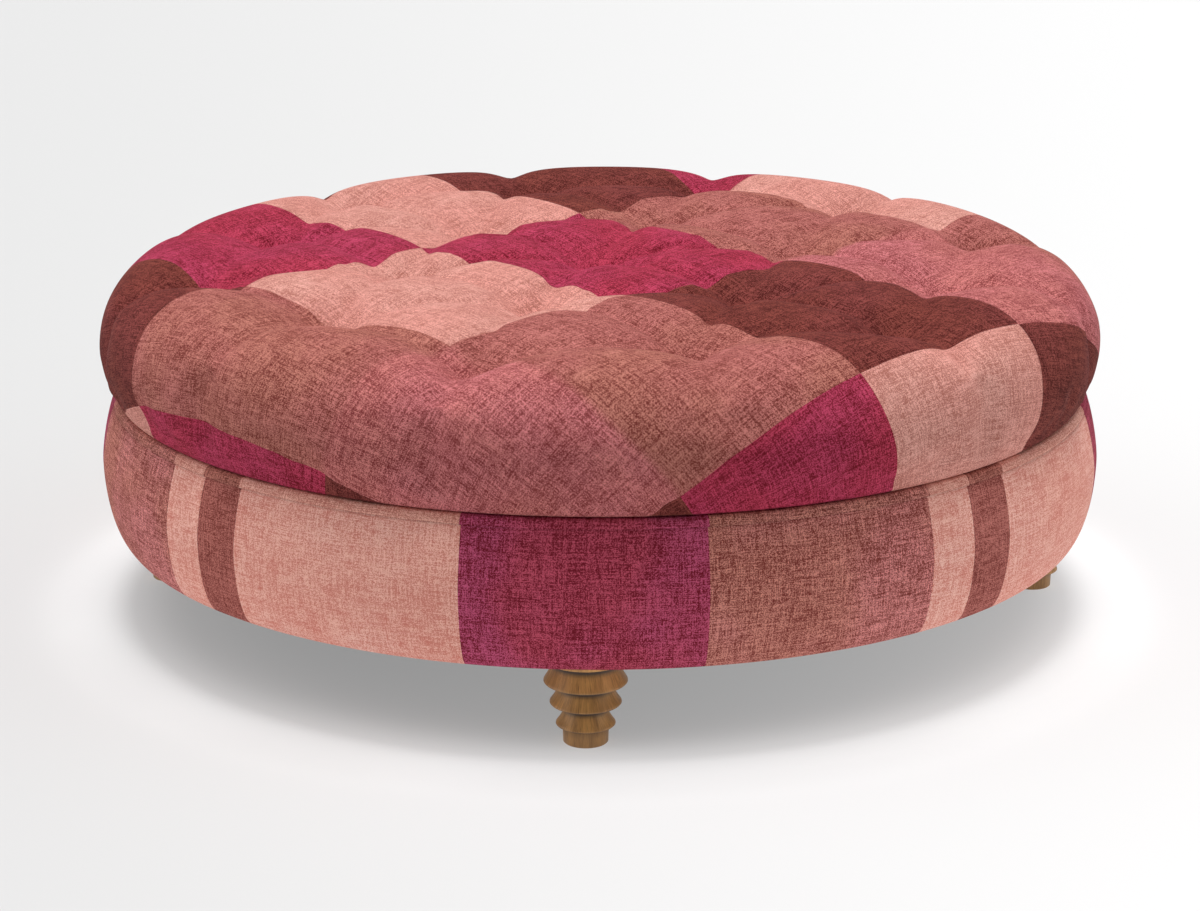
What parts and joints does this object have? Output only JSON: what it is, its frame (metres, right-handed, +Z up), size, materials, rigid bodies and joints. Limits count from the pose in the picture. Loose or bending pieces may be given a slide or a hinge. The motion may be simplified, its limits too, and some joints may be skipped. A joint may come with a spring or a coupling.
{
  "type": "tuffet",
  "caption": "Round upholstered tuffet: padded band on turned wooden feet, with a low tufted cushion on top, covered in patchwork linen.",
  "frame": {"origin": "on the floor, under the middle of the tuffet", "axes": "+Z up; -Y towards the front foot, +X towards the right foot"},
  "size_m": [1.1038, 1.1038, 0.3837],
  "materials": {
    "cushion_linen": "slubby patchwork linen in pinks, magenta, brick and dark brown",
    "band_linen": "slubby linen in upright blocks and stripes",
    "dust_cloth": "black cambric",
    "oak": "turned oak, satin lacquer",
    "plywood": "bare plywood",
    "pine": "bare softwood",
    "hardboard": "bare board",
    "foam": "open-cell foam",
    "twine": "waxed twine",
    "zinc_steel": "bright zinc plate"
  },
  "bodies": {
    "root": {"tufted_cushion": "cushion_linen", "side_cover": "band_linen", "dust_cloth": "dust_cloth", "foot_front": "oak", "foot_right": "oak", "foot_back": "oak", "foot_left": "oak", "lower_ring": "plywood", "upper_ring": "plywood", "cushion_board": "plywood", "leg_block_front": "plywood", "leg_block_right": "plywood", "leg_block_back": "plywood", "leg_block_left": "plywood", "leg_post_front": "pine", "leg_post_right": "pine", "leg_post_back": "pine", "leg_post_left": "pine", "side_post_1": "pine", "side_post_2": "pine", "side_post_3": "pine", "side_post_4": "pine", "cross_rail_wide": "pine", "cross_rail_deep": "pine", "band_board": "hardboard", "foam_pad": "foam", "side_padding": "foam", "tuft_tie_01": "twine", "tuft_tie_02": "twine", "tuft_tie_03": "twine", "tuft_tie_04": "twine", "tuft_tie_05": "twine", "tuft_tie_06": "twine", "tuft_tie_07": "twine", "tuft_tie_08": "twine", "tuft_tie_09": "twine", "tuft_tie_10": "twine", "tuft_tie_11": "twine", "tuft_tie_12": "twine", "tuft_tie_13": "twine", "tuft_tie_14": "twine", "tuft_tie_15": "twine", "tuft_tie_16": "twine", "tuft_tie_17": "twine", "tuft_tie_18": "twine", "tuft_tie_19": "twine", "hanger_bolt_front": "zinc_steel", "hanger_bolt_right": "zinc_steel", "hanger_bolt_back": "zinc_steel", "hanger_bolt_left": "zinc_steel", "tee_nut_front": "zinc_steel", "tee_nut_right": "zinc_steel", "tee_nut_back": "zinc_steel", "tee_nut_left": "zinc_steel", "cushion_screw_1": "zinc_steel", "cushion_screw_2": "zinc_steel", "cushion_screw_3": "zinc_steel", "cushion_screw_4": "zinc_steel"}
  },
  "joints": []
}
